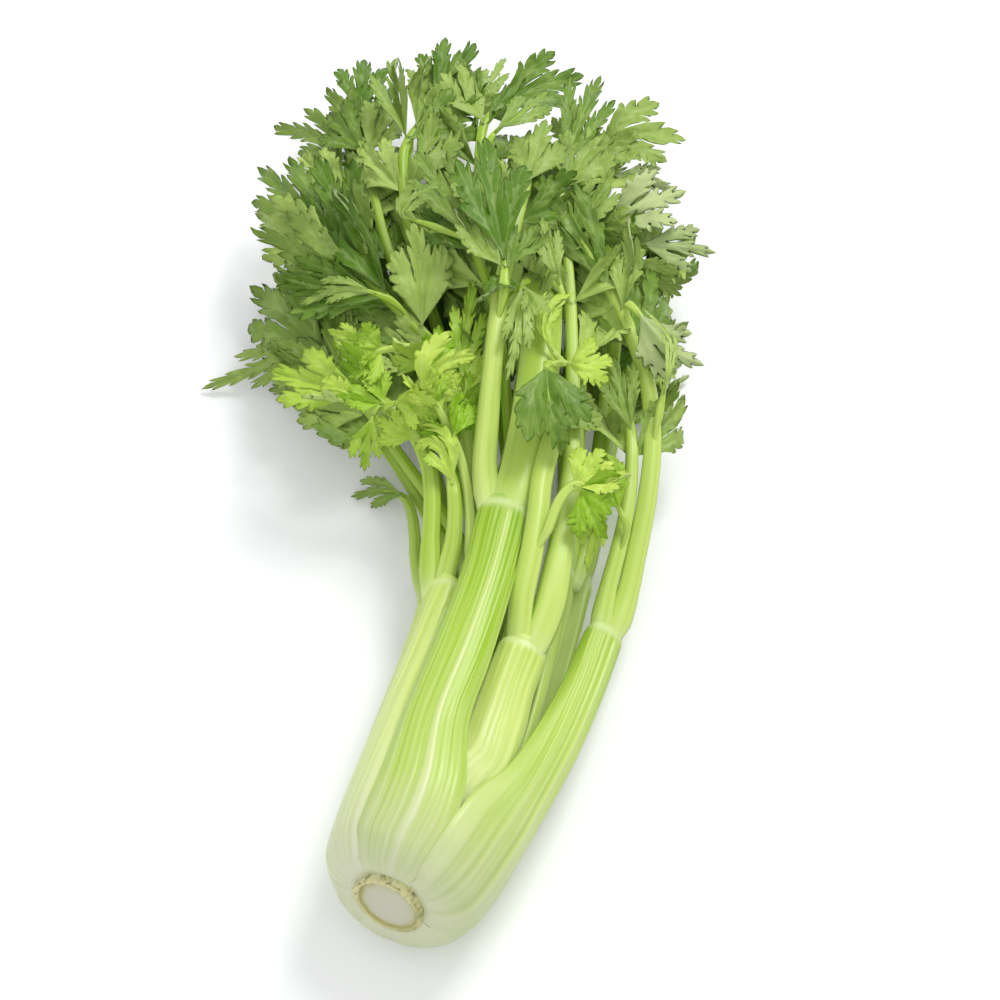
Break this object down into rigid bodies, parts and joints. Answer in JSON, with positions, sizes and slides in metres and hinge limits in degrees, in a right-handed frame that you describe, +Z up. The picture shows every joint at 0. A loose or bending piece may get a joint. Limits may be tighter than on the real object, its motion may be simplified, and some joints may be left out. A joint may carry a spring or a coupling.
{
  "type": "head of celery",
  "caption": "Whole head of celery lying on its side, with a cut butt, ribbed stalks spreading from it and lobed, toothed leaves.",
  "frame": {"origin": "middle of the bounding box in X and Y, on the surface that the head lies on", "axes": "+Y from the butt to the leaf tips, +Z up from the surface it lies on, +X to the right seen from the butt"},
  "size_m": [0.273, 0.535, 0.1044],
  "materials": {
    "crown": "moist cut plant flesh, cream white",
    "stalk": "satin, ribbed, pale green fading to white at the butt",
    "leaf": "soft satin leaf, mid to dark green",
    "young_leaf": "soft satin leaf, yellow green"
  },
  "bodies": {
    "root": {"crown": "crown", "front_stalk": "stalk", "left_stalk": "stalk", "right_stalk": "stalk", "under_left_stalk": "stalk", "under_right_stalk": "stalk", "inner_front_stalk": "stalk", "inner_right_stalk": "stalk", "inner_left_stalk": "stalk", "inner_under_stalk": "stalk", "heart_right_stalk": "stalk", "heart_left_stalk": "stalk", "under_left_leaf_1": "leaf", "under_left_leaf_2": "leaf", "under_right_leaf_1": "leaf", "under_right_leaf_2": "leaf", "left_leaf_3": "leaf", "under_left_leaf_3": "leaf", "heart_left_leaf_3": "leaf", "under_right_leaf_3": "leaf", "inner_under_leaf_1": "leaf", "inner_under_leaf_2": "leaf", "heart_left_leaf_2": "leaf", "heart_left_leaf_1": "leaf", "inner_under_leaf_3": "leaf", "under_left_leaf_4": "leaf", "inner_right_leaf_1": "leaf", "inner_right_leaf_2": "leaf", "inner_right_leaf_6": "leaf", "right_leaf_2": "leaf", "left_leaf_2": "young_leaf", "heart_right_leaf_2": "leaf", "inner_left_leaf_3": "young_leaf", "inner_left_leaf_2": "young_leaf", "inner_front_leaf_2": "leaf", "right_leaf_1": "leaf", "inner_front_leaf_1": "leaf", "front_leaf_3": "leaf", "front_leaf_1": "leaf", "heart_right_leaf_1": "leaf", "left_leaf_1": "young_leaf", "inner_left_leaf_1": "young_leaf", "inner_right_leaf_3": "leaf", "inner_right_leaf_4": "leaf", "inner_right_leaf_5": "leaf", "left_leaf_4": "young_leaf", "left_leaf_5": "young_leaf", "heart_right_leaf_3": "leaf", "heart_right_leaf_4": "leaf", "right_leaf_3": "leaf", "right_leaf_4": "young_leaf", "right_leaf_5": "leaf", "inner_front_leaf_3": "young_leaf", "inner_front_leaf_4": "leaf", "inner_front_leaf_5": "young_leaf", "front_leaf_6": "leaf", "front_leaf_5": "young_leaf", "front_leaf_4": "leaf", "front_leaf_2": "leaf", "front_leaf_7": "leaf"}
  },
  "joints": []
}
